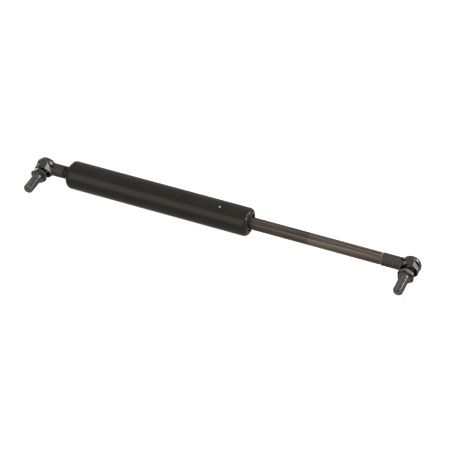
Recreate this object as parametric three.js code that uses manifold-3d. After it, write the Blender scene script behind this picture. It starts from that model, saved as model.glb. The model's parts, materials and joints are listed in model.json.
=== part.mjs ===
// Gas strut stay with a ball joint at each end, at full extension.
//
// Millimetres. +X runs along the strut, from the tube-end ball to the rod-end ball.
// Both ball studs point along -Y, and +Z is up. The origin is the tube-end ball's centre.
// Each socket is rolled about the strut, so its stud leans in it.

import * as THREE from 'three';
import { mergeVertices } from 'three/addons/utils/BufferGeometryUtils.js';
import Module from 'manifold-3d';

const wasm = await Module();
wasm.setup();

// ---------------------------------------------------------------- driving dimensions

const BALL_TO_BALL = 310; // fully extended
const STROKE = 100;
const FIT = 0.3; // between pieces that are fixed to each other
const RUNNING = 0.1; // radial, between pieces that slide or turn on each other

const TUBE_RADIUS = 11.5;
const TUBE_WALL = 1.5;
const TUBE_MOUTH = 179.5; // station of the rolled end, where the rod comes out
const ROD_RADIUS = 5;

const BALL_RADIUS = 5;
const HEAD_RADIUS = 8;
const HEAD_TOP = 6.8; // ball centre to the top of the dome
const TUBE_HEAD_ROLL = 20; // degrees that each socket is rolled about the strut
const ROD_HEAD_ROLL = 6;
const SHANK_RADIUS = 5.2;
const TUBE_SOCKET_REACH = 18; // ball centre to the shank's end face
const ROD_SOCKET_REACH = 23;
const END_THREAD_RADIUS = 3; // M6, both ends of the strut
const STUD_THREAD_RADIUS = 4; // M8
const STUD_THREAD_LENGTH = 17.5;
const STUD_SEAT = 14; // ball centre to the hexagon's seat face
const HEX_ACROSS_FLATS = 12;
const HEX_TURN = 25; // degrees from +X to a corner of the hexagon, towards -Z

const SIDES = 32; // facets round the tube, the rod and the socket heads
const SMALL_SIDES = 24; // facets round everything else

// ------------------------------------------------------------------ worked-out places

const BORE_RADIUS = TUBE_RADIUS - TUBE_WALL;
const INSERT_RADIUS = BORE_RADIUS - FIT; // of every piece that sits still in the bore
const TUBE_START = TUBE_SOCKET_REACH + FIT;

const WIPER_LENGTH = 2;
const GUIDE_LENGTH = 8;
const SUPPORT_WASHER_LENGTH = 1.2;
const SEAL_LENGTH = 5;
const STOP_WASHER_LENGTH = 1.5;
const WIPER_START = TUBE_MOUTH - TUBE_WALL - FIT - WIPER_LENGTH;
const GUIDE_START = WIPER_START - FIT - GUIDE_LENGTH;
const SUPPORT_WASHER_START = GUIDE_START - FIT - SUPPORT_WASHER_LENGTH;
const SEAL_START = SUPPORT_WASHER_START - FIT - SEAL_LENGTH;
const STOP_WASHER_START = SEAL_START - FIT - STOP_WASHER_LENGTH;

const FRONT_WASHER_LENGTH = 1.7;
const FLOW_DISC_LENGTH = 0.8;
const PISTON_LENGTH = 7.5;
const REAR_WASHER_LENGTH = 1.5;
const RIVET_LENGTH = 2.5;
const ROD_SHOULDER = STOP_WASHER_START - FIT;
const FRONT_WASHER_START = ROD_SHOULDER - FIT - FRONT_WASHER_LENGTH;
const FLOW_DISC_START = FRONT_WASHER_START - FIT - FLOW_DISC_LENGTH;
const PISTON_START = FLOW_DISC_START - FIT - PISTON_LENGTH;
const REAR_WASHER_START = PISTON_START - FIT - REAR_WASHER_LENGTH;
const ROD_START = REAR_WASHER_START - FIT - RIVET_LENGTH;
const SPIGOT_RADIUS = 3.5;
const SPIGOT_HOLE_RADIUS = SPIGOT_RADIUS + FIT;

const SOCKET_BORE_RADIUS = END_THREAD_RADIUS + FIT;
const SOCKET_BORE_FLOOR = 7; // ball centre to the bottom of the threaded bore
const THREAD_TIP = SOCKET_BORE_FLOOR + 2 * FIT;

const ORING_SECTION = 0.8; // radius of the cord
const ORING_CENTRE = BORE_RADIUS - 1.05;
const ORING_GROOVE_RADIUS = ORING_CENTRE - ORING_SECTION - 0.15;
const ORING_GROOVE_WIDTH = 2 * ORING_SECTION + 2 * FIT;

const RING_WIRE = 0.5; // radius of the snap ring's wire
const RING_CENTRE = 5.37; // radius of the circle that the wire follows
const RING_LEVEL = -1.9; // just below the ball's widest place

// --------------------------------------------------------------------------- materials

function finish(hex, roughness, metalness) {
  return new THREE.MeshStandardMaterial({ color: hex, roughness, metalness });
}

const BLACK_PAINT = finish(0x2d2a26, 0.45, 0.3);
const ROD_STEEL = finish(0x4f4741, 0.5, 0.7);
const SOCKET_STEEL = finish(0x433e3a, 0.6, 0.6);
const STUD_STEEL = finish(0x55534f, 0.5, 0.8);
const SPRING_STEEL = finish(0x3a3a3c, 0.4, 0.9);
const PLAIN_STEEL = finish(0x8b8d90, 0.4, 0.9);
const BEARING_BRONZE = finish(0x9a7a45, 0.5, 0.7);
const PISTON_ALUMINIUM = finish(0xa9abad, 0.5, 0.8);
const SEAL_RUBBER = finish(0x131313, 0.6, 0);
const RING_PLASTIC = finish(0xd8d2c2, 0.5, 0);

// --------------------------------------------------------------------- shape functions

// Points of an arc in a (radius, height) outline. Degrees, 0 pointing away from the axis.
function arc(centreRadius, centreHeight, radius, from, to, steps) {
  const points = [];
  for (let i = 0; i <= steps; i += 1) {
    const angle = THREE.MathUtils.degToRad(from + ((to - from) * i) / steps);
    points.push([centreRadius + radius * Math.cos(angle), centreHeight + radius * Math.sin(angle)]);
  }
  return points;
}

// A solid turned about the Y axis. The outline starts and ends on the axis.
function turned(outline, sides = SMALL_SIDES) {
  return new THREE.LatheGeometry(outline.map(([r, h]) => new THREE.Vector2(r, h)), sides);
}

// A turned ring: its outline closes on itself, and goes up its outer side.
function turnedRing(outline, sides = SMALL_SIDES) {
  return turned([...outline, outline[0]], sides);
}

function plainRing(inner, outer, length) {
  return turnedRing([[inner, 0], [outer, 0], [outer, length], [inner, length]]);
}

function cylinder(radius, from, to) {
  return turned([[0, from], [radius, from], [radius, to], [0, to]]);
}

// Turns a piece made about Y so that its height runs along +X.
function alongX(geometry) {
  return geometry.rotateZ(-Math.PI / 2);
}

function toSolid(geometry) {
  const bare = geometry.clone();
  bare.deleteAttribute('normal');
  bare.deleteAttribute('uv');
  const merged = mergeVertices(bare, 1e-4);
  const triangles = [];
  for (let i = 0; i < merged.index.count; i += 3) {
    const [a, b, c] = merged.index.array.slice(i, i + 3);
    if (a !== b && b !== c && c !== a) triangles.push(a, b, c);
  }
  return new wasm.Manifold(new wasm.Mesh({
    numProp: 3,
    vertProperties: new Float32Array(merged.attributes.position.array),
    triVerts: new Uint32Array(triangles),
  }));
}

function toGeometry(solid) {
  const mesh = solid.getMesh();
  const geometry = new THREE.BufferGeometry();
  geometry.setAttribute('position', new THREE.BufferAttribute(mesh.vertProperties, 3));
  geometry.setIndex(new THREE.BufferAttribute(mesh.triVerts, 1));
  geometry.computeVertexNormals();
  return geometry;
}

// Joins the first list of shapes and cuts the second list away.
function joinAndCut(joined, cut) {
  let solid = toSolid(joined[0]);
  for (const shape of joined.slice(1)) solid = solid.add(toSolid(shape));
  for (const shape of cut) solid = solid.subtract(toSolid(shape));
  return toGeometry(solid);
}

function piece(name, geometry, material, station = 0) {
  const mesh = new THREE.Mesh(geometry, material);
  mesh.name = name;
  mesh.position.y = station;
  return mesh;
}

// ------------------------------------------------------------------------ the cylinder

const NECK_LENGTH = 2;
const NECK_FILLET = 1.5;
const CROWN_RADIUS = TUBE_RADIUS - SHANK_RADIUS - NECK_FILLET; // rounding of the closed end
const CROWN_CENTRE_RADIUS = SHANK_RADIUS + NECK_FILLET;
const CROWN_CENTRE = NECK_LENGTH + NECK_FILLET + CROWN_RADIUS;
const TUBE_LENGTH = TUBE_MOUTH - TUBE_START;

function cylinderTube() {
  const lipRadius = 3; // rounding of the rolled end
  const lipCentreRadius = TUBE_RADIUS - lipRadius;
  const lipCentre = TUBE_LENGTH - lipRadius;
  const halfWall = TUBE_WALL / 2;
  const lipEnd = 7.55; // radius where the rolled lip's own round edge is centred
  const innerCrown = CROWN_RADIUS - TUBE_WALL;
  const floor = CROWN_CENTRE - innerCrown;
  const hole = END_THREAD_RADIUS + 1.3 * FIT;
  return turnedRing([
    [hole, 0],
    [SHANK_RADIUS, 0],
    ...arc(CROWN_CENTRE_RADIUS, NECK_LENGTH, NECK_FILLET, 180, 90, 2),
    ...arc(CROWN_CENTRE_RADIUS, CROWN_CENTRE, CROWN_RADIUS, -90, 0, 4).slice(1),
    ...arc(lipCentreRadius, lipCentre, lipRadius, 0, 90, 4),
    ...arc(lipEnd, TUBE_LENGTH - halfWall, halfWall, 90, 270, 3),
    ...arc(lipCentreRadius, lipCentre, lipRadius - TUBE_WALL, 90, 0, 2),
    ...arc(CROWN_CENTRE_RADIUS, CROWN_CENTRE, innerCrown, 0, -90, 3),
    [hole, floor],
  ], SIDES);
}

// Two groove flanks and a groove floor, cut into a cylinder that goes up its outer side.
function oringGroove(middle) {
  const low = middle - ORING_GROOVE_WIDTH / 2;
  const high = middle + ORING_GROOVE_WIDTH / 2;
  return [
    [INSERT_RADIUS, low],
    [ORING_GROOVE_RADIUS, low],
    [ORING_GROOVE_RADIUS, high],
    [INSERT_RADIUS, high],
  ];
}

const PLUG_LENGTH = 13; // without its threaded stud
const PLUG_SHOULDER = TUBE_START + CROWN_CENTRE - (CROWN_RADIUS - TUBE_WALL) + FIT;
const PLUG_GROOVE = 7.5;

function endPlug() {
  const tip = THREAD_TIP - PLUG_SHOULDER;
  const crown = CROWN_RADIUS - TUBE_WALL - FIT;
  return turned([
    [0, tip],
    [END_THREAD_RADIUS - 0.6, tip],
    [END_THREAD_RADIUS, tip + 0.6],
    [END_THREAD_RADIUS, 0],
    ...arc(CROWN_CENTRE_RADIUS, crown, crown, -90, 0, 3),
    ...oringGroove(PLUG_GROOVE),
    [INSERT_RADIUS, PLUG_LENGTH - 1],
    [INSERT_RADIUS - 1, PLUG_LENGTH],
    [0, PLUG_LENGTH],
  ]);
}

function oring() {
  return turnedRing(arc(ORING_CENTRE, 0, ORING_SECTION, -90, 270, 6).slice(0, -1));
}

const GUIDE_GROOVE = GUIDE_LENGTH / 2;

function rodGuide() {
  const inner = ROD_RADIUS + RUNNING;
  return turnedRing([
    [inner + 0.4, 0],
    [INSERT_RADIUS, 0],
    ...oringGroove(GUIDE_GROOVE),
    [INSERT_RADIUS, GUIDE_LENGTH],
    [inner + 0.4, GUIDE_LENGTH],
    [inner, GUIDE_LENGTH - 0.4],
    [inner, 0.4],
  ]);
}

// The wiper fills the rolled end. Its face is dished, with a scraping lip round the rod.
function rodWiper() {
  const inner = ROD_RADIUS + RUNNING;
  const corner = 1.5;
  return turnedRing([
    [inner + 0.5, 0],
    [INSERT_RADIUS, 0],
    ...arc(INSERT_RADIUS - corner, WIPER_LENGTH - corner, corner, 0, 90, 3),
    [inner + 1.9, WIPER_LENGTH - 0.5],
    [inner + 0.7, WIPER_LENGTH - 1],
    [inner + 0.35, WIPER_LENGTH - 0.1],
    [inner, WIPER_LENGTH - 0.3],
    [inner, WIPER_LENGTH - 0.8],
  ]);
}

// A lip seal, open towards the gas.
function rodSeal() {
  const inner = ROD_RADIUS + RUNNING;
  return turnedRing([
    [inner, 0.3],
    [inner + 0.9, 0],
    [inner + 1.5, 2.4],
    [INSERT_RADIUS - 1.5, 2.4],
    [INSERT_RADIUS - 0.9, 0],
    [INSERT_RADIUS, 0.3],
    [INSERT_RADIUS, SEAL_LENGTH],
    [inner + 0.5, SEAL_LENGTH],
    [inner, SEAL_LENGTH - 1],
  ]);
}

// -------------------------------------------------------------------- piston and rod

const PISTON_RADIUS = BORE_RADIUS - 0.6;
const PISTON_GROOVE_START = 2.2;
const PISTON_GROOVE_WIDTH = 3;
const PISTON_GROOVE_RADIUS = 7.9;
const PISTON_RING_WIDTH = PISTON_GROOVE_WIDTH - 2 * FIT;

function pistonBody() {
  const grooveEnd = PISTON_GROOVE_START + PISTON_GROOVE_WIDTH;
  return turnedRing([
    [SPIGOT_HOLE_RADIUS, 0],
    [PISTON_RADIUS - 0.6, 0],
    [PISTON_RADIUS, 0.6],
    [PISTON_RADIUS, PISTON_GROOVE_START],
    [PISTON_GROOVE_RADIUS, PISTON_GROOVE_START],
    [PISTON_GROOVE_RADIUS, grooveEnd],
    [PISTON_RADIUS, grooveEnd],
    [PISTON_RADIUS, PISTON_LENGTH - 0.6],
    [PISTON_RADIUS - 0.6, PISTON_LENGTH],
    [SPIGOT_HOLE_RADIUS, PISTON_LENGTH],
  ]);
}

// A split ring, extruded along the strut. Its gap is on the lower side.
function pistonRing() {
  const outer = BORE_RADIUS - 0.15;
  const inner = PISTON_GROOVE_RADIUS + 0.3;
  const halfGap = THREE.MathUtils.degToRad(4);
  const shape = new THREE.Shape();
  shape.absarc(0, 0, outer, halfGap, 2 * Math.PI - halfGap, false);
  shape.absarc(0, 0, inner, 2 * Math.PI - halfGap, halfGap, true);
  const flat = { depth: PISTON_RING_WIDTH, bevelEnabled: false, curveSegments: SIDES / 2 };
  return new THREE.ExtrudeGeometry(shape, flat).rotateX(-Math.PI / 2);
}

// A thin disc that meters the gas through two notches in its rim.
function flowDisc() {
  const radius = PISTON_RADIUS - 0.9;
  const notchDepth = 1.1;
  const halfNotch = THREE.MathUtils.degToRad(6);
  const shape = new THREE.Shape();
  for (const side of [0, Math.PI]) {
    const end = side + Math.PI;
    shape.absarc(0, 0, radius - notchDepth, side - halfNotch, side + halfNotch, false);
    shape.absarc(0, 0, radius, side + halfNotch, end - halfNotch, false);
  }
  shape.holes.push(new THREE.Path().absarc(0, 0, SPIGOT_HOLE_RADIUS, 0, 2 * Math.PI, true));
  const flat = { depth: FLOW_DISC_LENGTH, bevelEnabled: false, curveSegments: 12 };
  return new THREE.ExtrudeGeometry(shape, flat).rotateX(-Math.PI / 2);
}

function pistonRod() {
  const at = (station) => station - ROD_START;
  const face = BALL_TO_BALL - ROD_SOCKET_REACH - FIT;
  const tip = BALL_TO_BALL - THREAD_TIP;
  const rivetRadius = SPIGOT_RADIUS + 1.2;
  return turned([
    [0, 0],
    [rivetRadius - 1.6, 0],
    [rivetRadius, 1.2],
    [rivetRadius, RIVET_LENGTH],
    [SPIGOT_RADIUS, RIVET_LENGTH],
    [SPIGOT_RADIUS, at(ROD_SHOULDER)],
    [ROD_RADIUS, at(ROD_SHOULDER)],
    [ROD_RADIUS, at(face) - 0.5],
    [ROD_RADIUS - 0.5, at(face)],
    [END_THREAD_RADIUS, at(face)],
    [END_THREAD_RADIUS, at(tip) - 0.6],
    [END_THREAD_RADIUS - 0.6, at(tip)],
    [0, at(tip)],
  ], SIDES);
}

// ---------------------------------------------------------------------- ball joints

const MOUTH = -5.2; // level of the socket's mouth, below the ball's centre
const CAVITY_RADIUS = BALL_RADIUS + 0.2;
const RING_GROOVE_RADIUS = RING_CENTRE + RING_WIRE + 0.23;
const RING_GROOVE_HALF = RING_WIRE + 0.25;
const FLAT_DISTANCE = 7.15; // from the head's axis to each of its eight flats
const FLAT_TOP = 0.3; // level of the ledge where the flats end
const SLOT_HEIGHT = 0.9;
const SLOT_WIDTH = 5.2;
const SLOT_DEPTH = 1.2;
const FLAT_ANGLES = [0, 45, 90, 135, 180, 225, 270, 315];
const SLOT_ANGLES = [45, 135, 225, 315];

// The round head, with flats all round its lower part.
function socketHead() {
  const dome = 5.4; // rounding of the closed top
  const round = turned([
    [0, MOUTH],
    [HEAD_RADIUS - 0.5, MOUTH],
    [HEAD_RADIUS, MOUTH + 0.5],
    ...arc(HEAD_RADIUS - dome, HEAD_TOP - dome, dome, 0, 90, 4),
    [0, HEAD_TOP],
  ], SIDES);
  const flats = FLAT_ANGLES.map((angle) => blockAt(angle, FLAT_DISTANCE, 9, MOUTH - 1, FLAT_TOP));
  return joinAndCut([round], flats);
}

function socketShank(reach) {
  const chamfer = 0.6;
  return alongX(turned([
    [0, 0],
    [SHANK_RADIUS, 0],
    [SHANK_RADIUS, reach - chamfer],
    [SHANK_RADIUS - chamfer, reach],
    [0, reach],
  ]));
}

// The room for the ball: half a sphere, then a straight hole that flares to the mouth.
function ballCavity() {
  const flare = 6.5;
  return turned([
    [0, MOUTH - 1],
    [flare, MOUTH - 1],
    [flare, MOUTH],
    [CAVITY_RADIUS, MOUTH + 1.6],
    ...arc(0, 0, CAVITY_RADIUS, 0, 90, 5),
  ]);
}

// A block that reaches outwards from a distance off the head's axis, at an angle round it.
function blockAt(angle, distance, width, low, high) {
  const depth = 4;
  const block = new THREE.BoxGeometry(depth, high - low, width);
  block.translate(distance + depth / 2, (low + high) / 2, 0);
  return block.rotateY(THREE.MathUtils.degToRad(angle));
}

// The socket of a ball joint, with its shank along +X and its mouth facing -Y.
function ballSocket(reach) {
  const grooveTop = RING_LEVEL + RING_GROOVE_HALF;
  const groove = cylinder(RING_GROOVE_RADIUS, RING_LEVEL - RING_GROOVE_HALF, grooveTop);
  const bore = alongX(cylinder(SOCKET_BORE_RADIUS, SOCKET_BORE_FLOOR, reach + 1));
  const slotFloor = FLAT_DISTANCE - SLOT_DEPTH;
  const slots = SLOT_ANGLES.map((angle) => (
    blockAt(angle, slotFloor, SLOT_WIDTH, FLAT_TOP - SLOT_HEIGHT, FLAT_TOP)));
  return joinAndCut(
    [socketHead(), socketShank(reach)],
    [ballCavity(), groove, bore, ...slots],
  );
}

class RingPath extends THREE.Curve {
  getPoint(t, target = new THREE.Vector3()) {
    const halfGap = 25;
    const angle = THREE.MathUtils.degToRad(halfGap + t * (360 - 2 * halfGap));
    return target.set(-RING_CENTRE * Math.cos(angle), RING_LEVEL, RING_CENTRE * Math.sin(angle));
  }
}

// A wire ring with a gap, which keeps the ball in its socket.
function snapRing() {
  const section = new THREE.Shape().absarc(0, 0, RING_WIRE, 0, 2 * Math.PI, false);
  return new THREE.ExtrudeGeometry(section, {
    steps: 20,
    curveSegments: 3,
    extrudePath: new RingPath(),
  });
}

function hexagon(low, high) {
  const shape = new THREE.Shape();
  const corner = HEX_ACROSS_FLATS / Math.sqrt(3);
  for (let i = 0; i < 6; i += 1) {
    const angle = (i * Math.PI) / 3 + THREE.MathUtils.degToRad(HEX_TURN);
    const x = corner * Math.cos(angle);
    const z = corner * Math.sin(angle);
    if (i === 0) shape.moveTo(x, z);
    else shape.lineTo(x, z);
  }
  const prism = new THREE.ExtrudeGeometry(shape, { depth: high - low, bevelEnabled: false });
  return prism.rotateX(-Math.PI / 2).translate(0, low, 0);
}

// Ball, neck, hexagon and thread in one piece, pointing along -Y from the ball's centre.
function ballStud() {
  const hexHeight = 4;
  const hexTop = -STUD_SEAT + hexHeight;
  const tip = -STUD_SEAT - STUD_THREAD_LENGTH;
  const neckRadius = 3;
  const neckEnd = -7; // the neck widens from here to the shoulder on the hexagon
  const shoulderRadius = 5.3;
  const neckAngle = THREE.MathUtils.radToDeg(Math.acos(neckRadius / BALL_RADIUS));
  const bar = turned([
    [0, tip + 0.8],
    [1.1, tip],
    [STUD_THREAD_RADIUS - 0.9, tip],
    [STUD_THREAD_RADIUS, tip + 0.9],
    [STUD_THREAD_RADIUS, hexTop - 1],
    [shoulderRadius, hexTop - 1],
    [shoulderRadius, hexTop + 0.3],
    [neckRadius, neckEnd],
    ...arc(0, 0, BALL_RADIUS, -neckAngle, 90, 8),
  ]);
  const seatRadius = HEX_ACROSS_FLATS / 2 - 0.2;
  const corner = HEX_ACROSS_FLATS / Math.sqrt(3);
  const chamfer = (corner - seatRadius) * Math.tan(Math.PI / 6);
  const chamfers = turned([
    [0, -STUD_SEAT],
    [seatRadius, -STUD_SEAT],
    [corner, -STUD_SEAT + chamfer],
    [corner, hexTop - chamfer],
    [seatRadius, hexTop],
    [0, hexTop],
  ]);
  const hex = toSolid(hexagon(-STUD_SEAT, hexTop)).intersect(toSolid(chamfers));
  return toGeometry(toSolid(bar).add(hex));
}

function ballJoint(end, reach, roll) {
  const rolled = new THREE.Group();
  rolled.rotation.x = THREE.MathUtils.degToRad(roll);
  rolled.add(piece(`${end}_socket`, ballSocket(reach), SOCKET_STEEL));
  rolled.add(piece(`${end}_snap_ring`, snapRing(), SPRING_STEEL));
  const joint = new THREE.Group();
  joint.add(rolled, piece(`${end}_ball_stud`, ballStud(), STUD_STEEL));
  return joint;
}

// -------------------------------------------------------------------------- assembly

const washers = {
  support: plainRing(ROD_RADIUS + 0.5, INSERT_RADIUS, SUPPORT_WASHER_LENGTH),
  stop: plainRing(ROD_RADIUS + 0.6, INSERT_RADIUS, STOP_WASHER_LENGTH),
  front: plainRing(SPIGOT_HOLE_RADIUS, 7.6, FRONT_WASHER_LENGTH),
  rear: plainRing(SPIGOT_HOLE_RADIUS, 7, REAR_WASHER_LENGTH),
};

// In this group a piece's height, and its position.y, run along the strut.
const strut = new THREE.Group();
strut.rotation.z = -Math.PI / 2;
strut.add(
  piece('cylinder_tube', cylinderTube(), BLACK_PAINT, TUBE_START),
  piece('end_plug', endPlug(), PLAIN_STEEL, PLUG_SHOULDER),
  piece('end_plug_oring', oring(), SEAL_RUBBER, PLUG_SHOULDER + PLUG_GROOVE),
  piece('rod_wiper', rodWiper(), SEAL_RUBBER, WIPER_START),
  piece('rod_guide', rodGuide(), BEARING_BRONZE, GUIDE_START),
  piece('guide_oring', oring(), SEAL_RUBBER, GUIDE_START + GUIDE_GROOVE),
  piece('seal_support_washer', washers.support, PLAIN_STEEL, SUPPORT_WASHER_START),
  piece('rod_seal', rodSeal(), SEAL_RUBBER, SEAL_START),
  piece('extension_stop_washer', washers.stop, PLAIN_STEEL, STOP_WASHER_START),
  piece('piston_front_washer', washers.front, PLAIN_STEEL, FRONT_WASHER_START),
  piece('flow_disc', flowDisc(), SPRING_STEEL, FLOW_DISC_START),
  piece('piston_body', pistonBody(), PISTON_ALUMINIUM, PISTON_START),
  piece('piston_ring', pistonRing(), RING_PLASTIC, PISTON_START + PISTON_GROOVE_START + FIT),
  piece('piston_rear_washer', washers.rear, PLAIN_STEEL, REAR_WASHER_START),
  piece('piston_rod', pistonRod(), ROD_STEEL, ROD_START),
);

// The rod end is turned half round, so its roll is the other way in its own group.
const tubeEnd = ballJoint('tube_end', TUBE_SOCKET_REACH, TUBE_HEAD_ROLL);
const rodEnd = ballJoint('rod_end', ROD_SOCKET_REACH, -ROD_HEAD_ROLL);
rodEnd.position.x = BALL_TO_BALL;
rodEnd.rotation.y = Math.PI;

const compressedGap = ROD_START - STROKE - (PLUG_SHOULDER + PLUG_LENGTH);
if (compressedGap < 1) throw new Error('the piston would hit the end plug');

const gasStrut = new THREE.Group();
gasStrut.add(strut, tubeEnd, rodEnd);

export default gasStrut;
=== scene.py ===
import json
import math

import bmesh
import bpy
from mathutils import Matrix, Vector


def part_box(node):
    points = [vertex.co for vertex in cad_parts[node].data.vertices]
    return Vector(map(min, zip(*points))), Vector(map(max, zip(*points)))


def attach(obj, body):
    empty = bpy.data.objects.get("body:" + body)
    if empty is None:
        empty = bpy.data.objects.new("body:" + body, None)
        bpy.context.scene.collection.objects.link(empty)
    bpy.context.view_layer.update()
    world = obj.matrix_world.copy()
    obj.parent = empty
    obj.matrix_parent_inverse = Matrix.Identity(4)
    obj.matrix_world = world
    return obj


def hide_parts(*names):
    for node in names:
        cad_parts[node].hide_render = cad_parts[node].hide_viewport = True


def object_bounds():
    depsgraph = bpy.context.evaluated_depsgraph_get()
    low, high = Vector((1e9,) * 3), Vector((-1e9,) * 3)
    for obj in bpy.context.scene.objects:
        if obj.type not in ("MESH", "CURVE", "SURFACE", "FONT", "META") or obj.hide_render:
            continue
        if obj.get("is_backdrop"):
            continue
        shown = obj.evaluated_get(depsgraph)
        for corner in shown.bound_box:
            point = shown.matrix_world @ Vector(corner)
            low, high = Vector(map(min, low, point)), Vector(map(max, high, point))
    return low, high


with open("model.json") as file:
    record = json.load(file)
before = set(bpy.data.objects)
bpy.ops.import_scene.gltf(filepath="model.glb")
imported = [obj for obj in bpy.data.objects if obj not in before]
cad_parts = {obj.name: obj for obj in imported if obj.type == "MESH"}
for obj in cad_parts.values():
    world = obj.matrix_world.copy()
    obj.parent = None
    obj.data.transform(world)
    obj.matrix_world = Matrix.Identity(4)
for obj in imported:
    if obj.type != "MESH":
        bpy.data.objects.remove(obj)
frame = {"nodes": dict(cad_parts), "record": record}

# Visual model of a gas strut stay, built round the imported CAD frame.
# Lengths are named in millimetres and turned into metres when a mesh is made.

CAD_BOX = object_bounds()
MM = 0.001
X, Y, Z = 0, 1, 2


# ------------------------------------------------------------ places from the frame

def span(node, axis):
    """Lowest and highest millimetre of a CAD node along an axis."""
    low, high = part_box(node)
    return low[axis] / MM, high[axis] / MM


def joint(name):
    """The record of one joint."""
    return next(j for j in frame["record"]["behaviour"]["joints"] if j["name"] == name)


def joint_place(name):
    """A joint's position, in millimetres."""
    return Vector(joint(name)["pos_m"]) / MM


def joint_roll(name):
    """The turn about the strut that takes +Y to a joint's axis, in radians."""
    axis = joint(name)["axis"]
    return math.atan2(axis[Z], axis[Y])


TUBE_BALL = joint_place("tube_end_tilt")
ROD_BALL = joint_place("rod_end_tilt")
TUBE_START, TUBE_MOUTH = span("cylinder_tube", X)
TUBE_RADIUS = span("cylinder_tube", Z)[1]
ROD_START, ROD_TIP = span("piston_rod", X)
ROD_RADIUS = span("piston_rod", Z)[1]
TUBE_SHANK_END = span("tube_end_socket", X)[1]
ROD_SHANK_END = span("rod_end_socket", X)[0]
ROD_SOCKET_REACH = ROD_BALL.x - ROD_SHANK_END
STUD_TIP = span("tube_end_ball_stud", Y)[0]
BALL_RADIUS = span("tube_end_ball_stud", Y)[1]
STUD_SEAT = next(
    m["pos_m"][Y] / MM for m in frame["record"]["mounts"] if m["name"] == "tube_end_stud_seat")

TUBE_WALL = 1.5
SHANK_RADIUS = 5.2
SHANK_CHAMFER = 0.6
END_THREAD_RADIUS = 3.0
STUD_THREAD_RADIUS = 4.0
STUD_PITCH = 1.7
THREAD_DEPTH = 0.6
HEX_FLAT = 6.0
HEX_CORNER = HEX_FLAT / math.cos(math.pi / 6)
HEX_TURN = -25
HEX_HEIGHT = 4.0
HEX_CHAMFER = 0.6
HEX_CHAMFER_SLOPE = math.tan(math.pi / 6)
SEAT_RADIUS = HEX_FLAT - HEX_CHAMFER
NECK_RADIUS = 3.0
NECK_END = -7.0
SHOULDER_RADIUS = 5.3
HEAD_RADIUS = 8.0
RING_LEVEL = -1.9
RING_CENTRE = 5.37
RING_WIRE = 0.5

# Specks in the tube's paint: share of its length, angle from the top, radius, colour.
# Pale speck: a pale fleck in the paint, with a painted glint on it.
PALE_SPECK_AND_GLINT = (0.6, 0.58, 0.55)
DULL_SPECK = (0.12, 0.115, 0.11)
# Pit: painted shade, near black, where a dent would be shaded; the mesh has no dent there.
PIT_SHADE = (0.004, 0.004, 0.004)
TUBE_SPECKS = [
    (0.845, 18, 0.8, PALE_SPECK_AND_GLINT),
    (0.85, 85, 0.9, PIT_SHADE),
    (0.44, 13, 0.45, DULL_SPECK),
    (0.62, 17, 0.45, DULL_SPECK),
    (0.70, 75, 0.4, DULL_SPECK),
]


# ------------------------------------------------------------------- mesh functions

# A ring of a smaller radius than this is one vertex on the axis.
POLE = 1e-6


def fillets(corners, steps=6):
    """Rounds an outline. Each corner is (along, radius) or (along, radius, rounding)."""
    points = []
    count = len(corners)
    for i, corner in enumerate(corners):
        here = Vector(corner[:2])
        rounding = corner[2] if len(corner) > 2 else 0
        if not rounding:
            points.append(tuple(here))
            continue
        before = (Vector(corners[i - 1][:2]) - here).normalized()
        after = (Vector(corners[(i + 1) % count][:2]) - here).normalized()
        half = before.angle(after) / 2
        reach = rounding / math.tan(half)
        centre = here + (before + after).normalized() * rounding / math.sin(half)
        first = here + before * reach - centre
        last = here + after * reach - centre
        turn = first.angle_signed(last)
        for k in range(steps + 1):
            point = centre + Matrix.Rotation(-turn * k / steps, 2) @ first
            points.append(tuple(point))
    return points


def skin(rows):
    """Faces between neighbouring rows of vertices. A row at a pole repeats one vertex."""
    faces = []
    for low, high in zip(rows, rows[1:]):
        for k in range(len(low)):
            n = (k + 1) % len(low)
            face = [low[k], low[n], high[n], high[k]]
            face = [v for i, v in enumerate(face) if v != face[i - 1]]
            if len(face) > 2:
                faces.append(face)
    return faces


def revolve(outline, sides, closed=False):
    """Vertices and faces of an outline of (along, radius), turned about the X axis."""
    verts, rows = [], []
    for along, radius in outline:
        if radius < POLE:
            rows.append([len(verts)] * sides)
            verts.append((along, 0, 0))
            continue
        rows.append(list(range(len(verts), len(verts) + sides)))
        for k in range(sides):
            angle = 2 * math.pi * k / sides
            verts.append((along, radius * math.cos(angle), radius * math.sin(angle)))
    if closed:
        rows.append(rows[0])
    return verts, skin(rows)


def mesh_object(name, verts, faces, sharp=35):
    """A mesh object from millimetre vertices, with its faces turned outwards."""
    mesh = bpy.data.meshes.new(name)
    mesh.from_pydata([Vector(v) * MM for v in verts], [], faces)
    shell = bmesh.new()
    shell.from_mesh(mesh)
    bmesh.ops.recalc_face_normals(shell, faces=shell.faces)
    shell.to_mesh(mesh)
    shell.free()
    mesh.shade_smooth()
    mesh.set_sharp_from_angle(angle=math.radians(sharp))
    piece = bpy.data.objects.new(name, mesh)
    bpy.context.scene.collection.objects.link(piece)
    return piece


def place(piece, body, material_slot, *nodes):
    """Gives a finished piece its body, its slot's material and the CAD nodes it stands for."""
    piece.data.materials.clear()
    piece.data.materials.append(MATERIALS[material_slot])
    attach(piece, body)
    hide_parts(*nodes)
    return piece


# ------------------------------------------------------------------------ materials

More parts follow.
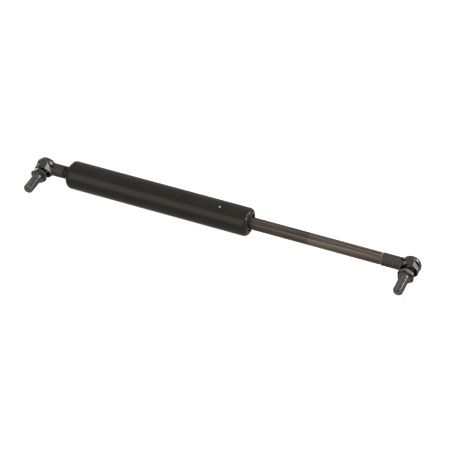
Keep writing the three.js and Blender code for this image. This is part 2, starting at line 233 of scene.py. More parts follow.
class Shader:
    """A Principled material and the few node steps that the finishes below share."""

    def __init__(self, name, colour, roughness, metallic=0.0, **sockets):
        self.material = bpy.data.materials.new(name)
        self.material.use_nodes = True
        self.nodes = self.material.node_tree.nodes
        self.link = self.material.node_tree.links.new
        self.principled = self.nodes["Principled BSDF"]
        self.principled.inputs["Base Color"].default_value = (*colour, 1)
        self.principled.inputs["Roughness"].default_value = roughness
        self.principled.inputs["Metallic"].default_value = metallic
        for socket, value in sockets.items():
            self.principled.inputs[socket.replace("_", " ")].default_value = value
        self.place = self.nodes.new("ShaderNodeTexCoord").outputs["Object"]

    def scaled(self, x, y, z):
        """The object's own coordinates, in metres, times a scale along each axis."""
        mapping = self.nodes.new("ShaderNodeMapping")
        mapping.inputs["Scale"].default_value = (x, y, z)
        self.link(self.place, mapping.inputs["Vector"])
        return mapping.outputs["Vector"]

    def noise(self, vector, scale=1.0, detail=4.0, roughness=0.5):
        """A noise value near 0 to 1 at a vector."""
        texture = self.nodes.new("ShaderNodeTexNoise")
        texture.inputs["Scale"].default_value = scale
        texture.inputs["Detail"].default_value = detail
        texture.inputs["Roughness"].default_value = roughness
        self.link(vector, texture.inputs["Vector"])
        return texture.outputs["Fac"]

    def ramp(self, value, stops):
        """A colour ramp. Each stop is (position, colour), and a colour may be one grey."""
        ramp = self.nodes.new("ShaderNodeValToRGB")
        elements = ramp.color_ramp.elements
        while len(elements) < len(stops):
            elements.new(0.5)
        for element, (position, colour) in zip(elements, stops):
            if not isinstance(colour, tuple):
                colour = (colour, colour, colour)
            element.position = position
            element.color = (*colour, 1)
        self.link(value, ramp.inputs["Fac"])
        return ramp.outputs["Color"]

    def math(self, operation, first, second=0.0):
        """A math node. Either input is a socket or a number."""
        node = self.nodes.new("ShaderNodeMath")
        node.operation = operation
        for socket, value in zip(node.inputs, (first, second)):
            if isinstance(value, (int, float)):
                socket.default_value = value
            else:
                self.link(value, socket)
        return node.outputs["Value"]

    def mix(self, factor, first, second, blend="MIX"):
        """A colour mix. A colour is a socket or a tuple. Inputs 6 and 7 are the colour ones."""
        node = self.nodes.new("ShaderNodeMix")
        node.data_type = "RGBA"
        node.blend_type = blend
        sockets = (node.inputs["Factor"], node.inputs[6], node.inputs[7])
        for socket, value in zip(sockets, (factor, first, second)):
            if isinstance(value, tuple):
                socket.default_value = (*value, 1)
            elif isinstance(value, (int, float)):
                socket.default_value = value
            else:
                self.link(value, socket)
        return node.outputs[2]

    def axis(self, letter):
        """One coordinate of the object's own place, in metres."""
        split = self.nodes.new("ShaderNodeSeparateXYZ")
        self.link(self.place, split.inputs["Vector"])
        return split.outputs[letter]

    def colour(self, socket):
        self.link(socket, self.principled.inputs["Base Color"])

    def rough(self, socket):
        self.link(socket, self.principled.inputs["Roughness"])

    def bump(self, height, distance, strength=1.0):
        node = self.nodes.new("ShaderNodeBump")
        node.inputs["Strength"].default_value = strength
        node.inputs["Distance"].default_value = distance
        self.link(height, node.inputs["Height"])
        self.link(node.outputs["Normal"], self.principled.inputs["Normal"])


def from_axis(shader):
    """Distance from the piece's own Y axis, in millimetres."""
    x = shader.math("POWER", shader.axis("X"), 2.0)
    z = shader.math("POWER", shader.axis("Z"), 2.0)
    return shader.math("DIVIDE", shader.math("SQRT", shader.math("ADD", x, z)), MM)


def step(shader, value, low, high):
    """0 below low and 1 above high."""
    node = shader.nodes.new("ShaderNodeMapRange")
    node.inputs["From Min"].default_value = low
    node.inputs["From Max"].default_value = high
    shader.link(value, node.inputs["Value"])
    return node.outputs["Result"]


def between(shader, value, low, high, soft=0.1):
    """1 between low and high, and 0 outside them."""
    above = step(shader, value, low - soft, low)
    below = shader.math("SUBTRACT", 1.0, step(shader, value, high, high + soft))
    return shader.math("MULTIPLY", above, below)


def spot(shader, centre, radius):
    """1 within a radius of a point in millimetres, and 0 further off."""
    node = shader.nodes.new("ShaderNodeVectorMath")
    node.operation = "DISTANCE"
    node.inputs[1].default_value = centre * MM
    shader.link(shader.place, node.inputs[0])
    core = 0.7 * radius
    off = step(shader, node.outputs["Value"], core * MM, radius * MM)
    return shader.math("SUBTRACT", 1.0, off)


def on_tube(share, angle):
    """A point on the tube, at a share of its length and an angle from the top to the front."""
    along = TUBE_START + share * (TUBE_MOUTH - TUBE_START)
    turn = math.radians(angle)
    return Vector((along, -TUBE_RADIUS * math.sin(turn), TUBE_RADIUS * math.cos(turn)))


def black_paint():
    """Glossy black paint with a fine orange peel, a few specks, a pale one with a painted glint, and a pit
    painted near black as shade.
    """
    shader = Shader("black_painted_steel", (0.026, 0.0225, 0.0185), 0.22, Specular_IOR_Level=0.25)
    mottle = shader.noise(shader.scaled(60, 60, 60), detail=5)
    dark, light = (0.0195, 0.0158, 0.0119), (0.024, 0.02, 0.0156)
    tone = shader.ramp(mottle, [(0.3, dark), (0.7, light)])
    for share, angle, radius, colour in TUBE_SPECKS:
        tone = shader.mix(spot(shader, on_tube(share, angle), radius), tone, colour)
    shader.colour(tone)
    shader.rough(shader.ramp(mottle, [(0.25, 0.17), (0.75, 0.23)]))
    peel = shader.noise(shader.scaled(700, 700, 700), detail=2)
    shader.bump(peel, 0.00001, 0.5)
    return shader.material


def rod_oxide():
    """Brown-grey oxide, lighter past the middle of the rod, with fine streaks along it."""
    zones = [
        (0.58, (0.074, 0.056, 0.043)),
        (0.66, (0.096, 0.075, 0.059)),
        (0.752, (0.098, 0.077, 0.061)),
        (0.757, (0.154, 0.126, 0.103)),
        (0.82, (0.142, 0.114, 0.092)),
        (0.93, (0.108, 0.083, 0.065)),
    ]
    shader = Shader("oxide_rod_steel", (0.09, 0.074, 0.063), 0.4, 0.3, Specular_IOR_Level=0.3)
    share_of_reach = shader.math("MULTIPLY", shader.axis("X"), 1 / (ROD_TIP * MM))
    tone = shader.ramp(share_of_reach, zones)
    streak = shader.noise(shader.scaled(12, 900, 900), detail=4, roughness=0.65)
    streaks = shader.ramp(streak, [(0.38, 0.5), (0.5, 0.9), (0.62, 1.55)])
    shader.colour(shader.mix(1.0, tone, streaks, "MULTIPLY"))
    shader.rough(shader.ramp(streak, [(0.3, 0.34), (0.7, 0.5)]))
    shader.bump(streak, 0.000006, 0.4)
    return shader.material


def socket_phosphate():
    """Grey phosphate: darker on the shank, a painted highlight on its end's chamfer, and painted shade,
    near black, inside the head.
    """
    dark, light = (0.098, 0.088, 0.08), (0.134, 0.122, 0.112)
    plain, shank_shade = (1.0, 1.0, 1.0), (0.78, 0.755, 0.73)
    chamfer_highlight = (0.5, 0.48, 0.46)
    inside_shade_black = (0.004, 0.0038, 0.0035)
    flat_rough, shank_rough = (0.31, 0.31, 0.31), (0.62, 0.62, 0.62)
    inside_edge = 6.9
    shader = Shader("phosphated_socket_steel", (0.12, 0.11, 0.1), 0.35, 0.9)
    cloud = shader.noise(shader.scaled(160, 160, 160), detail=4)
    grain = shader.noise(shader.scaled(1500, 1500, 1500), detail=3)
    level = shader.math("DIVIDE", shader.axis("Y"), MM)
    reach = shader.math("DIVIDE", shader.math("ABSOLUTE", shader.axis("X")), MM)
    radius = from_axis(shader)
    shank = step(shader, radius, HEAD_RADIUS, HEAD_RADIUS + 0.4)
    # Painted highlight: the end chamfer of the rod-end socket's shank is painted light where it would catch
    # a glint.
    chamfer_start = ROD_SOCKET_REACH - SHANK_CHAMFER
    shank_end = step(shader, reach, chamfer_start - 0.1, chamfer_start)
    # Painted shade: faces inside the head, below its middle, are painted near black where shade falls in
    # the mouth, ball room and slots.
    inside = shader.math("SUBTRACT", 1.0, step(shader, radius, inside_edge - 0.2, inside_edge))
    below = shader.math("SUBTRACT", 1.0, step(shader, level, -0.3, 0.3))
    inside_shade = shader.math("MULTIPLY", inside, below)
    on_flat = shader.math("MULTIPLY", below, step(shader, radius, inside_edge, inside_edge + 0.1))
    tone = shader.ramp(cloud, [(0.3, dark), (0.7, light)])
    tone = shader.mix(1.0, tone, shader.ramp(grain, [(0.3, 0.9), (0.7, 1.1)]), "MULTIPLY")
    tone = shader.mix(1.0, tone, shader.mix(shank, plain, shank_shade), "MULTIPLY")
    tone = shader.mix(shank_end, tone, chamfer_highlight)
    shader.colour(shader.mix(inside_shade, tone, inside_shade_black))
    dome_rough = shader.ramp(cloud, [(0.3, 0.28), (0.7, 0.38)])
    shader.rough(shader.mix(shank, shader.mix(on_flat, dome_rough, flat_rough), shank_rough))
    shader.bump(grain, 0.000004, 0.3)
    return shader.material


def stud_plating():
    """Dark plating: worn light on the tip; thread crests light from wear and a painted highlight, roots
    dark with painted shade; a painted shadow line, near black, on the hexagon's lower chamfer.
    """
    dark, light = (0.11, 0.104, 0.098), (0.15, 0.142, 0.133)
    tip_tone = (0.18, 0.168, 0.157)
    seat_tone = (0.19, 0.166, 0.146)
    chamfer_shadow_tone = (0.01, 0.0095, 0.009)
    side_tone = (0.1, 0.096, 0.09)
    edge = 0.04
    shader = Shader("dark_plated_stud_steel", (0.12, 0.11, 0.1), 0.3, 0.9)
    cloud = shader.noise(shader.scaled(250, 250, 250), detail=4)
    radius = from_axis(shader)
    level = shader.math("DIVIDE", shader.axis("Y"), MM)
    on_thread = between(shader, level, STUD_TIP - 1, STUD_SEAT - 1)
    crest = step(shader, radius, STUD_THREAD_RADIUS - THREAD_DEPTH, STUD_THREAD_RADIUS - 0.05)
    # Thread: crests lighter, partly wear and partly a painted highlight; roots painted dark as shade in the
    # thread's groove.
    thread_wear_sheen_and_shade = shader.ramp(crest, [(0.0, 0.12), (0.6, 0.7), (1.0, 1.7)])
    tip = between(shader, level, STUD_TIP - 1, STUD_TIP + 0.6)
    seat = between(shader, level, STUD_SEAT - 0.1, STUD_SEAT + edge, edge)
    low_side = between(shader, level, STUD_SEAT + 2 * edge, STUD_SEAT + 0.65, edge)
    # Painted shadow: the hexagon's lower chamfer is painted near black, as the line of shade along that
    # edge.
    chamfer = shader.math("MULTIPLY", low_side, between(shader, radius, SEAT_RADIUS - 0.1, HEX_CORNER))
    side_start = STUD_SEAT + (HEX_CORNER - SEAT_RADIUS) * HEX_CHAMFER_SLOPE
    side = between(shader, level, side_start, STUD_SEAT + HEX_HEIGHT)
    tone = shader.ramp(cloud, [(0.3, dark), (0.7, light)])
    tone = shader.mix(on_thread, tone, shader.mix(1.0, tone, thread_wear_sheen_and_shade, "MULTIPLY"))
    tone = shader.mix(tip, tone, tip_tone)
    tone = shader.mix(seat, tone, seat_tone)
    tone = shader.mix(chamfer, tone, chamfer_shadow_tone)
    shader.colour(shader.mix(side, tone, side_tone))
    shader.rough(shader.ramp(cloud, [(0.3, 0.25), (0.7, 0.33)]))
    shader.bump(shader.noise(shader.scaled(1800, 1800, 1800), detail=2), 0.000003, 0.3)
    return shader.material


def turned_metal(name, dark, light, rough=(0.25, 0.4)):
    """A plain turned metal, with fine rings round the strut."""
    shader = Shader(name, light, rough[0], 1.0)
    rings = shader.noise(shader.scaled(6000, 120, 120), detail=2)
    cloud = shader.noise(shader.scaled(200, 200, 200), detail=4)
    shader.colour(shader.ramp(cloud, [(0.3, dark), (0.7, light)]))
    shader.rough(shader.ramp(rings, [(0.3, rough[0]), (0.7, rough[1])]))
    shader.bump(rings, 0.000006, 0.4)
    return shader.material


def moulded(name, dark, light, rough):
    """Rubber or plastic, with a fine cloudy surface."""
    shader = Shader(name, dark, rough[0])
    cloud = shader.noise(shader.scaled(300, 300, 300), detail=4)
    shader.colour(shader.ramp(cloud, [(0.3, dark), (0.7, light)]))
    shader.rough(shader.ramp(cloud, [(0.3, rough[0]), (0.7, rough[1])]))
    shader.bump(shader.noise(shader.scaled(2500, 2500, 2500), detail=2), 0.000006, 0.4)
    return shader.material


MATERIALS = {
    "black_painted_steel": black_paint(),
    "oxide_rod_steel": rod_oxide(),
    "phosphated_socket_steel": socket_phosphate(),
    "dark_plated_stud_steel": stud_plating(),
    "spring_steel": turned_metal("spring_steel", (0.05, 0.05, 0.055), (0.09, 0.09, 0.095)),
    "plain_steel": turned_metal("plain_steel", (0.36, 0.36, 0.37), (0.46, 0.46, 0.47)),
    "bearing_bronze": turned_metal("bearing_bronze", (0.32, 0.2, 0.08), (0.46, 0.3, 0.13)),
    "piston_aluminium": turned_metal("piston_aluminium", (0.52, 0.52, 0.53), (0.64, 0.64, 0.65)),
    "seal_rubber": moulded("seal_rubber", (0.006, 0.006, 0.006), (0.014, 0.014, 0.014), (0.18, 0.3)),
    "ring_plastic": moulded("ring_plastic", (0.62, 0.58, 0.48), (0.72, 0.68, 0.58), (0.4, 0.5)),
}


# --------------------------------------------------------------------- tube and rod

TUBE_SIDES = 160
ROD_SIDES = 96


def tube():
    """The painted tube: necked down round the end plug, and rolled over round the wiper."""
    length = TUBE_MOUTH - TUBE_START
    closed_end = 5.0
    neck = 3.5
    hole = 3.4
    lip = 6.8
    lip_rounding = TUBE_WALL / 2 - 0.01
    neck_rounding = 1.5
    rim_rounding = 3.6
    inner = TUBE_RADIUS - TUBE_WALL
    crown = TUBE_RADIUS - SHANK_RADIUS - neck_rounding
    outline = fillets([
        (0, hole, 0.2),
        (0, SHANK_RADIUS, 0.3),
        (neck, SHANK_RADIUS, neck_rounding),
        (neck, TUBE_RADIUS, crown),
        (length, TUBE_RADIUS, rim_rounding),
        (length, lip, lip_rounding),
        (length - TUBE_WALL, lip, lip_rounding),
        (length - TUBE_WALL, inner, 1.5),
        (closed_end, inner, crown - TUBE_WALL),
        (closed_end, hole, 0.3),
    ], steps=10)
    verts, faces = revolve([(TUBE_START + a, r) for a, r in outline], TUBE_SIDES, closed=True)
    place(mesh_object("tube", verts, faces), "cylinder", "black_painted_steel", "cylinder_tube")


def wiper():
    """The rubber ring in the tube's mouth: a rounded rim, a groove and a thin lip on the rod."""
    start, end = span("rod_wiper", X)
    outer = span("rod_wiper", Z)[1]
    inner = ROD_RADIUS + 0.05
    groove_floor = end - 0.9
    lip_tip = end - 0.1
    outline = fillets([
        (start, inner + 0.5, 0.1),
        (start, outer, 0.2),
        (end, outer, 1.5),
        (end, inner + 2.6, 0.4),
        (groove_floor, inner + 1.9, 0.4),
        (groove_floor, inner + 0.7, 0.3),
        (lip_tip, inner + 0.4, 0.1),
        (lip_tip - 0.1, inner, 0.1),
        (groove_floor, inner, 0.1),
    ])
    verts, faces = revolve(outline, ROD_SIDES, closed=True)
    place(mesh_object("wiper", verts, faces), "cylinder", "seal_rubber", "rod_wiper")


def rod():
    """The rod, from its rivet head and the piston's spigot to its end thread in the socket."""
    fit = 0.3
    spigot = 3.5
    rivet = 4.7
    chamfer = 0.5
    shoulder = span("piston_front_washer", X)[1] + fit
    rivet_end = span("piston_rear_washer", X)[0] - fit
    face = ROD_SHANK_END - fit
    outline = fillets([
        (ROD_START, 0),
        (ROD_START, rivet - 0.8, 1.2),
        (ROD_START + 1.4, rivet, 0.4),
        (rivet_end, rivet, 0.1),
        (rivet_end, spigot, 0.1),
        (shoulder, spigot, 0.1),
        (shoulder, ROD_RADIUS, 0.2),
        (face - chamfer, ROD_RADIUS, 0.2),
        (face, ROD_RADIUS - chamfer, 0.1),
        (face, END_THREAD_RADIUS, 0.1),
        (ROD_TIP, END_THREAD_RADIUS, 0.5),
        (ROD_TIP, 0),
    ])
    verts, faces = revolve(outline, ROD_SIDES)
    place(mesh_object("rod", verts, faces), "rod", "oxide_rod_steel", "piston_rod")


# ---------------------------------------------------------------------- ball joints

HEAD_TOP = 6.8
DOME_ROUNDING = 5.4
MOUTH = -5.2
MOUTH_FLARE = 6.5
CAVITY_RADIUS = BALL_RADIUS + 0.2
RING_GROOVE_RADIUS = RING_CENTRE + RING_WIRE + 0.23
RING_GROOVE_HALF = RING_WIRE + 0.25
PLAIN_ANGLES = range(0, 360, 90)
LEANING_ANGLES = range(45, 360, 90)
FLAT_DISTANCE = 7.15
FLAT_TOP = 0.3
FLAT_BULGE = 0.12
SLOT_HEIGHT = 1.1
SLOT_WIDTH = 5.8
SLOT_DEPTH = 1.2
SLOT_LEAN = 20
BORE_FLOOR = 7.0
SOCKET_VOXEL = 0.09
SOCKET_SIDES = 128

ABOUT_Y = Matrix.Rotation(math.pi / 2, 4, "Z")


def shape_object(outline, along_y=False):
    """A scratch solid, turned about X, or about Y for the head's own axis."""
    verts, faces = revolve(outline, SOCKET_SIDES)
    if along_y:
        verts = [ABOUT_Y @ Vector(v) for v in verts]
    return mesh_object("scratch", verts, faces)


def block_object(angle, near, width, low, high, lean=0, bulge=0):
    """A scratch block that reaches out from the head's axis at an angle round it.

    It leans about the middle of FLAT_TOP, and a bulge lets it cut a slightly rounded face.
    """
    beyond_head = 4
    far = near + beyond_head
    steps = 8
    outline = [(far, high), (far, low)]
    for k in range(steps + 1):
        share = k / steps
        outline.append((near + bulge * (1 - (2 * share - 1) ** 2), low + (high - low) * share))
    count = len(outline)
    corners = [(x, y - FLAT_TOP, z) for z in (-width / 2, width / 2) for x, y in outline]
    faces = [list(range(count)), list(range(2 * count - 1, count - 1, -1))]
    for k in range(count):
        n = (k + 1) % count
        faces.append([k, n, count + n, count + k])
    turn = Matrix.Rotation(math.radians(angle), 4, "Y")
    turn = turn @ Matrix.Translation((0, FLAT_TOP, 0)) @ Matrix.Rotation(math.radians(-lean), 4, "X")
    return mesh_object("scratch", [turn @ Vector(c) for c in corners], faces)


def head_solid():
    """The domed head, with its mouth towards -Y."""
    return shape_object(fillets([
        (MOUTH, 0),
        (MOUTH, HEAD_RADIUS, 0.45),
        (HEAD_TOP, HEAD_RADIUS, DOME_ROUNDING),
        (HEAD_TOP, 0),
    ], steps=16), along_y=True)


def shank_solid(reach):
    """The round shank, with a chamfered end."""
    return shape_object(fillets([
        (0, 0),
        (0, SHANK_RADIUS),
        (reach - SHANK_CHAMFER, SHANK_RADIUS),
        (reach, SHANK_RADIUS - SHANK_CHAMFER),
        (reach, 0),
    ]))


def flat_cuts():
    """Eight milled flats: four plain ones, and between them four that lean with the slots."""
    low = MOUTH - 2
    near = FLAT_DISTANCE - FLAT_BULGE
    plain_width = 9
    leaning_width = 12
    plain = [block_object(angle, FLAT_DISTANCE, plain_width, low, FLAT_TOP) for angle in PLAIN_ANGLES]
    leaning = [block_object(angle, near, leaning_width, low, FLAT_TOP, SLOT_LEAN, FLAT_BULGE)
               for angle in LEANING_ANGLES]
    return plain + leaning


def slot_cuts():
    """A blind slot along the top of each leaning flat."""
    near = FLAT_DISTANCE - SLOT_DEPTH
    low = FLAT_TOP - SLOT_HEIGHT
    return [block_object(angle, near, SLOT_WIDTH, low, FLAT_TOP, SLOT_LEAN) for angle in LEANING_ANGLES]


def ball_room_cut():
    """The room for the ball, open to the mouth."""
    steps = 24
    angles = [math.pi / 2 * k / steps for k in range(steps)]
    opening = [(MOUTH - 1, 0), (MOUTH - 1, MOUTH_FLARE), (MOUTH, MOUTH_FLARE), (MOUTH + 1.6, CAVITY_RADIUS)]
    dome = [(CAVITY_RADIUS * math.sin(a), CAVITY_RADIUS * math.cos(a)) for a in angles]
    return shape_object([*opening, *dome, (CAVITY_RADIUS, 0)], along_y=True)


def ring_groove_cut():
    """The groove that the wire ring sits in."""
    low = RING_LEVEL - RING_GROOVE_HALF
    high = RING_LEVEL + RING_GROOVE_HALF
    outline = [(low, 0), (low, RING_GROOVE_RADIUS), (high, RING_GROOVE_RADIUS), (high, 0)]
    return shape_object(outline, along_y=True)


def bore_cut(reach):
    """The shank's threaded bore, with a countersink at its end."""
    bore = END_THREAD_RADIUS + 0.3
    start, end = reach - 0.5, reach + 0.5
    return shape_object([(BORE_FLOOR, 0), (BORE_FLOOR, bore), (start, bore), (end, bore + 1), (end, 0)])


def baked(shape, helpers):
    """The mesh of a shape after its modifiers. The shape and its helpers are removed."""
    graph = bpy.context.evaluated_depsgraph_get()
    mesh = bpy.data.meshes.new_from_object(shape.evaluated_get(graph))
    for scratch in [shape, *helpers]:
        bpy.data.objects.remove(scratch)
    mesh.shade_smooth()
    return mesh


def socket_mesh(reach):
    """The socket's mesh round its ball's centre, shank along +X and mouth towards -Y."""
    head = head_solid()
    cuts = slot_cuts() + [ball_room_cut(), ring_groove_cut(), bore_cut(reach)]
    steps = [(flat, "DIFFERENCE") for flat in flat_cuts()]
    steps += [(shank_solid(reach), "UNION")]
    steps += [(cut, "DIFFERENCE") for cut in cuts]
    for other, operation in steps:
        boolean = head.modifiers.new("cut", "BOOLEAN")
        boolean.operation = operation
        boolean.solver = "EXACT"
        boolean.object = other
    remesh = head.modifiers.new("rounded", "REMESH")
    remesh.mode = "VOXEL"
    remesh.voxel_size = SOCKET_VOXEL * MM
    smooth = head.modifiers.new("smooth", "SMOOTH")
    smooth.factor = 0.5
    smooth.iterations = 24
    decimate = head.modifiers.new("lighter", "DECIMATE")
    decimate.ratio = 0.25
    return baked(head, [other for other, _ in steps])


def thread_cut(phase):
    """Depth of the stud's thread below its crest, at a phase of 0 to 1 along its pitch."""
    root_share = 0.2
    flank_share = 0.62
    from_root = abs((phase % 1) - 0.5) * 2
    slope = (from_root - root_share) / flank_share
    return THREAD_DEPTH * (1 - min(max(slope, 0), 1))


# Angles of a stud's columns: even, but closer beside each corner of the hexagon.
SIDE_ANGLES = [-30, -29.3, -28, -25, -20, -15, -10, -5, 0, 5, 10, 15, 20, 25, 28, 29.3]
STUD_ANGLES = [math.radians(60 * side + 30 + HEX_TURN + a) for side in range(6) for a in SIDE_ANGLES]


def hex_radius(angle):
    """Radius of the hexagon's side wall at an angle, with slightly blunt corners."""
    blunted = 0.1
    off_centre = (angle - math.radians(HEX_TURN + 30)) % (math.pi / 3)
    if off_centre > math.pi / 6:
        off_centre -= math.pi / 3
    return min(HEX_FLAT / math.cos(off_centre), HEX_CORNER - blunted)


def plain_ring(level, radius):
    """A ring of the stud with the same radius all round."""
    return [(level, radius)] * len(STUD_ANGLES)


def thread_rings():
    """Rings of the stud's thread, from its chamfered tip to its undercut."""
    rows_per_pitch = 20
    run_out = 1.2 * STUD_PITCH
    tip_chamfer = 0.95
    undercut = STUD_SEAT - 0.9
    rings = []
    level = STUD_TIP
    while level < undercut:
        limit = STUD_THREAD_RADIUS - tip_chamfer + level - STUD_TIP
        fade = min(1, (undercut - level) / run_out)
        ring = []
        for angle in STUD_ANGLES:
            phase = level / STUD_PITCH - angle / (2 * math.pi)
            ring.append((level, min(STUD_THREAD_RADIUS - thread_cut(phase) * fade, limit)))
        rings.append(ring)
        level += STUD_PITCH / rows_per_pitch
    return rings


def stud_rings():
    """Rings of a ball stud from its tip to its ball: each is a list of (level, radius)."""
    dimple_radius = 1.3
    dimple_floor = STUD_TIP + 0.9
    root_fillet = 0.12
    ball_steps = 24
    hex_top = STUD_SEAT + HEX_HEIGHT
    dimple = [(dimple_floor, 0), (dimple_floor, 0.3), (STUD_TIP, dimple_radius)]
    rings = [plain_ring(level, radius) for level, radius in dimple]
    rings += thread_rings()
    seat = [
        (STUD_SEAT - 0.5, STUD_THREAD_RADIUS),
        (STUD_SEAT - root_fillet, STUD_THREAD_RADIUS),
        (STUD_SEAT, STUD_THREAD_RADIUS + root_fillet),
        (STUD_SEAT, SEAT_RADIUS),
    ]
    rings += [plain_ring(level, radius) for level, radius in seat]
    radii = [hex_radius(angle) for angle in STUD_ANGLES]
    rings.append([(STUD_SEAT + (r - SEAT_RADIUS) * HEX_CHAMFER_SLOPE, r) for r in radii])
    rings.append([(hex_top - (r - SEAT_RADIUS) * HEX_CHAMFER_SLOPE, r) for r in radii])
    ball_start = math.acos(NECK_RADIUS / BALL_RADIUS)
    neck = fillets([
        (hex_top, SEAT_RADIUS),
        (hex_top, SHOULDER_RADIUS, 0.2),
        (hex_top + 0.3, SHOULDER_RADIUS, 0.1),
        (NECK_END, NECK_RADIUS, 0.6),
        (-BALL_RADIUS * math.sin(ball_start), NECK_RADIUS),
    ])
    rings += [plain_ring(level, radius) for level, radius in neck]
    for k in range(1, ball_steps + 1):
        angle = -ball_start + (math.pi / 2 + ball_start) * k / ball_steps
        rings.append(plain_ring(BALL_RADIUS * math.sin(angle), BALL_RADIUS * math.cos(angle)))
    return rings


def loft(rings, angles):
    """A closed skin over rings of (level along Y, radius)."""
    verts, rows = [], []
    for ring in rings:
        if max(radius for _, radius in ring) < POLE:
            rows.append([len(verts)] * len(angles))
            verts.append((0, ring[0][0], 0))
            continue
        rows.append(list(range(len(verts), len(verts) + len(angles))))
        for (level, radius), angle in zip(ring, angles):
            verts.append((radius * math.cos(angle), level, radius * math.sin(angle)))
    return verts, skin(rows)


def snap_ring():
    """Vertices and faces of the wire ring, with its gap away from the shank."""
    half_gap = math.radians(25)
    steps = 96
    sides = 16
    verts, rows = [], []
    for i in range(steps + 1):
        turn = half_gap + (2 * math.pi - 2 * half_gap) * i / steps
        rows.append(list(range(len(verts), len(verts) + sides)))
        for k in range(sides):
            angle = 2 * math.pi * k / sides
            radius = RING_CENTRE + RING_WIRE * math.cos(angle)
            level = RING_LEVEL + RING_WIRE * math.sin(angle)
            verts.append((-radius * math.cos(turn), level, radius * math.sin(turn)))
    return verts, skin(rows) + [rows[0], rows[-1]]


def ball_joint(end, centre, reach, facing, socket_body):
    """One end's socket, snap ring and stud. facing is 1 where the shank points along +X."""
    at_centre = Matrix.Translation(centre * MM)
    roll = Matrix.Rotation(joint_roll(f"{end}_swivel"), 4, "X")
    turn = Matrix.Rotation(0 if facing > 0 else math.pi, 4, "Y")
    mesh = socket_mesh(reach)
    mesh.transform(turn)
    socket = bpy.data.objects.new(f"{end}_ball_socket", mesh)
    bpy.context.scene.collection.objects.link(socket)
    socket.matrix_world = at_centre @ roll
    place(socket, socket_body, "phosphated_socket_steel", f"{end}_socket")
    ring = mesh_object(f"{end}_wire_ring", *snap_ring())
    ring.matrix_world = at_centre @ roll @ turn
    place(ring, f"{end}_ring", "spring_steel", f"{end}_snap_ring")
    stud = mesh_object(f"{end}_stud", *loft(stud_rings(), STUD_ANGLES), sharp=28)
    stud.matrix_world = at_centre
    place(stud, f"{end}_stud", "dark_plated_stud_steel", f"{end}_ball_stud")


# --------------------------------------------------------------- inner pieces, stage

CAMERA_AZIMUTH = 23
CAMERA_ELEVATION = 40.2
CAMERA_DISTANCE = 1.4
CAMERA_LENS = 143.5

# The camera's aim, in millimetres from the middle: right and down in its view, then to the front.
AIM_RIGHT = 4.1
AIM_DOWN = 4.8
AIM_FRONT = 5.0

WORLD_LIGHT = 0.45
FLOOR_GLOW = 0.95

# Softboxes: azimuth, elevation, distance, width and height in metres, power in watts.
SOFTBOXES = {
    "front_softbox": (-26, 23, 1.3, 1.1, 1.0, 4),
    "key_softbox": (74, 38, 1.2, 0.36, 0.3, 6.5),
    "right_softbox": (110, 46, 1.2, 0.4, 0.36, 3.2),
    "rear_softbox": (131, 25, 1.2, 0.4, 0.36, 5),
    "back_left_softbox": (-128, 0, 1.2, 0.4, 0.4, 2.0),
}


def inner_nodes():
    """The sealed CAD pieces keep their shape and get their slot's finish."""
    slots = {part["node"]: part["material_slot"] for part in frame["record"]["subparts"]}
    for name, node in frame["nodes"].items():
        if node.hide_render:
            continue
        node.data.materials.clear()
        node.data.materials.append(MATERIALS[slots[name]])


def floor():
    """A plain white floor with white walls, which the object's finishes don't mirror."""
    half_width = 3.0
    floor_level = -TUBE_RADIUS * MM
    wall_top = 2.5
    around = [(half_width * x, half_width * y) for x, y in ((-1, -1), (1, -1), (1, 1), (-1, 1))]
    corners = [(x, y, z) for z in (floor_level, wall_top) for x, y in around]
    walls = [(k, (k + 1) % 4, (k + 1) % 4 + 4, k + 4) for k in range(4)]
    mesh = bpy.data.meshes.new("floor")
    mesh.from_pydata(corners, [], [(0, 1, 2, 3), *walls])
    room = bpy.data.objects.new("floor", mesh)
    bpy.context.scene.collection.objects.link(room)
    room.visible_glossy = False
    room.visible_diffuse = False
    shader = Shader("pale_floor", (0.5, 0.5, 0.5), 0.9)
    shader.principled.inputs["Emission Color"].default_value = (1, 1, 1, 1)
    shader.principled.inputs["Emission Strength"].default_value = FLOOR_GLOW
    mesh.materials.append(shader.material)
    room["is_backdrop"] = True


def look_from(azimuth, elevation):
    """The unit vector towards a viewer, and the view's right and up vectors."""
    a, e = math.radians(azimuth), math.radians(elevation)
    back = Vector((math.sin(a) * math.cos(e), -math.cos(a) * math.cos(e), math.sin(e)))
    right = Vector((math.cos(a), math.sin(a), 0))
    return back, right, back.cross(right)


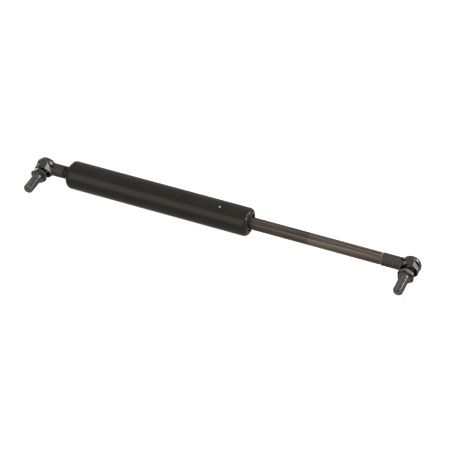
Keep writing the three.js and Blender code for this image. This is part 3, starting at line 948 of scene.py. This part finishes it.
def aim(thing, target, azimuth, elevation, distance):
    """Puts a light or camera at a distance from its target, turned towards it."""
    back, right, up = look_from(azimuth, elevation)
    turn = Matrix((right, up, back)).transposed().to_4x4()
    thing.matrix_world = Matrix.Translation(target + back * distance) @ turn


def softbox(name, target, azimuth, elevation, distance, width, height, power):
    """A rectangular area light, seen from its target at an azimuth and elevation."""
    light = bpy.data.lights.new(name, "AREA")
    light.shape = "RECTANGLE"
    light.size, light.size_y = width, height
    light.energy = power
    lamp = bpy.data.objects.new(name, light)
    bpy.context.scene.collection.objects.link(lamp)
    aim(lamp, target, azimuth, elevation, distance)


def soft_world():
    """Even light from all round."""
    world = bpy.data.worlds.new("studio")
    world.use_nodes = True
    background = world.node_tree.nodes["Background"]
    background.inputs["Color"].default_value = (1, 1, 1, 1)
    background.inputs["Strength"].default_value = WORLD_LIGHT
    bpy.context.scene.world = world


def camera(middle):
    """The camera, aimed a little off the middle of the strut."""
    data = bpy.data.cameras.new("camera")
    data.sensor_width = 36
    data.lens = CAMERA_LENS
    viewer = bpy.data.objects.new("camera", data)
    bpy.context.scene.collection.objects.link(viewer)
    _, right, up = look_from(CAMERA_AZIMUTH, CAMERA_ELEVATION)
    target = middle + (right * AIM_RIGHT - up * AIM_DOWN - Vector((0, AIM_FRONT, 0))) * MM
    aim(viewer, target, CAMERA_AZIMUTH, CAMERA_ELEVATION, CAMERA_DISTANCE)
    bpy.context.scene.camera = viewer


def stage():
    """Floor, lights and camera round the middle of the strut."""
    middle = (TUBE_BALL + ROD_BALL) / 2 * MM
    floor()
    soft_world()
    for name, settings in SOFTBOXES.items():
        softbox(name, middle, *settings)
    camera(middle)
    bpy.context.scene.view_settings.view_transform = "Standard"


tube()
wiper()
rod()
ball_joint("tube_end", TUBE_BALL, TUBE_SHANK_END - TUBE_BALL.x, 1, "cylinder")
ball_joint("rod_end", ROD_BALL, ROD_SOCKET_REACH, -1, "rod")
inner_nodes()
stage()

bpy.context.view_layer.update()
sizes = {"cad_box": CAD_BOX, "visual_box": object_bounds()}
sizes = {name: [[float(v) for v in corner] for corner in box] for name, box in sizes.items()}
